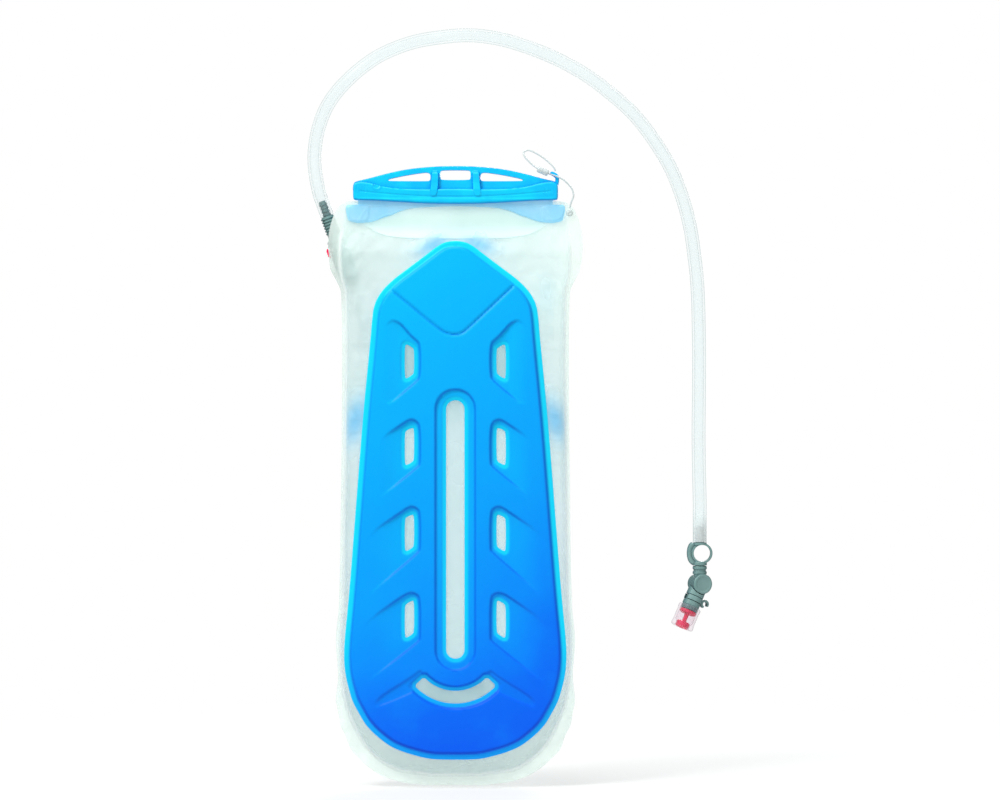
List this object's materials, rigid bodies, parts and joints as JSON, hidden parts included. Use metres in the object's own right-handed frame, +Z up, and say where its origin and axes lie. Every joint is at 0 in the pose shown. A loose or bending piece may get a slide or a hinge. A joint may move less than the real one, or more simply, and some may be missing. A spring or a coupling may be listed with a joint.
{
  "type": "hydration bladder",
  "caption": "Slide-top hydration bladder with a slotted backer panel, hanger slider, tether, quick-disconnect drinking hose and swivelling bite valve.",
  "frame": {"origin": "bottom centre of the bladder's weld flange, on the weld-seam plane", "axes": "+Z up along the bladder to the slider, +X to the right seen from the front, -Y out of the backer panel's front face"},
  "size_m": [0.2814, 0.0677, 0.5242],
  "materials": {
    "bladder_film": "milky translucent film, soft sheen",
    "collar_film": "pale frosted film",
    "rail_plastic": "translucent light blue moulding",
    "slider_plastic": "glossy cyan blue moulding",
    "backer_plastic": "satin blue moulded sheet",
    "tether_clear": "clear cord and fittings",
    "port_plastic": "milky translucent moulding",
    "hose_clear": "clear flexible tube",
    "grey_plastic": "satin grey-green moulding",
    "red_plastic": "bright red moulding",
    "seal_rubber": "black O-ring rubber",
    "spring_steel": "bright spring steel",
    "sheath_silicone": "clear soft silicone"
  },
  "bodies": {
    "bladder": {"bladder_front_film": "bladder_film", "bladder_back_film": "bladder_film", "mouth_collar_front": "collar_film", "mouth_collar_back": "collar_film", "front_closure_rail": "rail_plastic", "back_closure_rail": "rail_plastic", "tether_anchor": "tether_clear", "backer_plate": "backer_plastic", "outlet_port": "port_plastic", "lower_hose": "hose_clear", "qd_socket": "grey_plastic", "qd_tail_barb": "grey_plastic", "qd_button_spring": "spring_steel", "qd_poppet_spring": "spring_steel"},
    "slider": {"slider_bar": "slider_plastic", "tether_cord": "tether_clear", "tether_bead": "tether_clear"},
    "qd_button": {"qd_release_button": "red_plastic", "qd_latch_plate": "spring_steel"},
    "qd_poppet": {"qd_poppet": "grey_plastic"},
    "plug_seal": {"qd_plug_oring": "seal_rubber"},
    "drinking_hose": {"qd_plug": "grey_plastic", "drinking_hose": "hose_clear", "valve_inlet_stem": "grey_plastic", "stem_oring": "seal_rubber"},
    "valve_knuckle": {"knuckle_drum": "grey_plastic", "pivot_oring": "seal_rubber", "pivot_cap": "grey_plastic"},
    "valve_head": {"valve_barrel": "grey_plastic", "bite_core": "red_plastic", "bite_sheath": "sheath_silicone"},
    "shutoff_lever": {"shutoff_lever": "grey_plastic"}
  },
  "joints": [
    {"name": "slider_travel", "type": "slide", "parent": "bladder", "child": "slider", "axis": [1, 0, 0], "range_m": [0, 0.15]},
    {"name": "button_press", "type": "slide", "parent": "bladder", "child": "qd_button", "axis": [0.9397, 0, 0.342], "range_m": [0, 0.0016], "stiffness_N_per_m": 400, "deforming": ["qd_button_spring"]},
    {"name": "hose_unplug", "type": "slide", "parent": "bladder", "child": "plug_seal", "axis": [-0.342, 0, 0.9397], "range_m": [0, 0.025]},
    {"name": "poppet_travel", "type": "slide", "parent": "bladder", "child": "qd_poppet", "axis": [-0.342, 0, 0.9397], "range_m": [0, 0.003], "deforming": ["qd_poppet_spring"]},
    {"name": "hose_swivel", "type": "hinge", "parent": "plug_seal", "child": "drinking_hose", "pos_m": [-0.0824, 0.018, 0.3747], "axis": [-0.342, 0, 0.9397], "range_deg": [-90, 90]},
    {"name": "valve_swivel", "type": "hinge", "parent": "drinking_hose", "child": "valve_knuckle", "pos_m": [0.1696, 0.021, 0.148], "axis": [0, 0, 1], "continuous": true},
    {"name": "valve_pivot", "type": "hinge", "parent": "valve_knuckle", "child": "valve_head", "pos_m": [0.1696, 0.021, 0.1379], "axis": [-0.3746, 0.9272, 0], "range_deg": [-25, 55]},
    {"name": "shutoff_turn", "type": "hinge", "parent": "valve_head", "child": "shutoff_lever", "pos_m": [0.1696, 0.021, 0.1379], "axis": [-0.3918, -0.1583, -0.9063], "range_deg": [0, 90]}
  ],
  "couplings": [
    {"joint": "poppet_travel", "follows": "hose_unplug", "ratio": 0.12}
  ]
}
